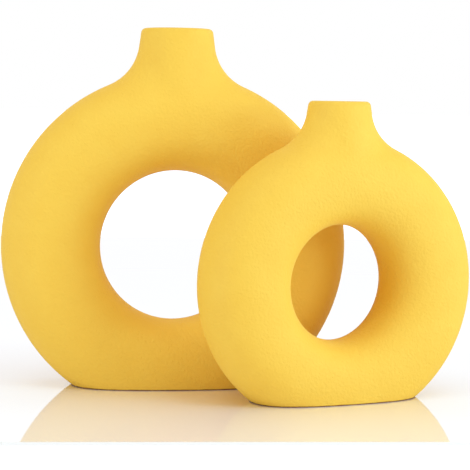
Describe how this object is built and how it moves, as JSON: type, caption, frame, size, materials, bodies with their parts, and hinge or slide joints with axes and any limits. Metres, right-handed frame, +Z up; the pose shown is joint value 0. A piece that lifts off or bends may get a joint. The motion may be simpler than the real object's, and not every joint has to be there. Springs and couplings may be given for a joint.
{
  "type": "donut vase",
  "caption": "Matte ceramic donut vases, a larger and a smaller: hollow ring on a flat foot, with a short flared neck and an open round mouth for stems.",
  "frame": {"origin": "centre of the pair's bounding box, on the surface that both vases stand on", "axes": "+X along the large vase's width, +Y through the holes from front to back, +Z up"},
  "size_m": [0.2924, 0.1406, 0.2286],
  "materials": {
    "matte_stoneware": "matte, fine sanded grain",
    "inside_glaze": "gloss"
  },
  "bodies": {
    "root": {"large_vase_body": "matte_stoneware", "small_vase_body": "matte_stoneware", "large_vase_glaze_lining": "inside_glaze", "small_vase_glaze_lining": "inside_glaze"}
  },
  "joints": []
}
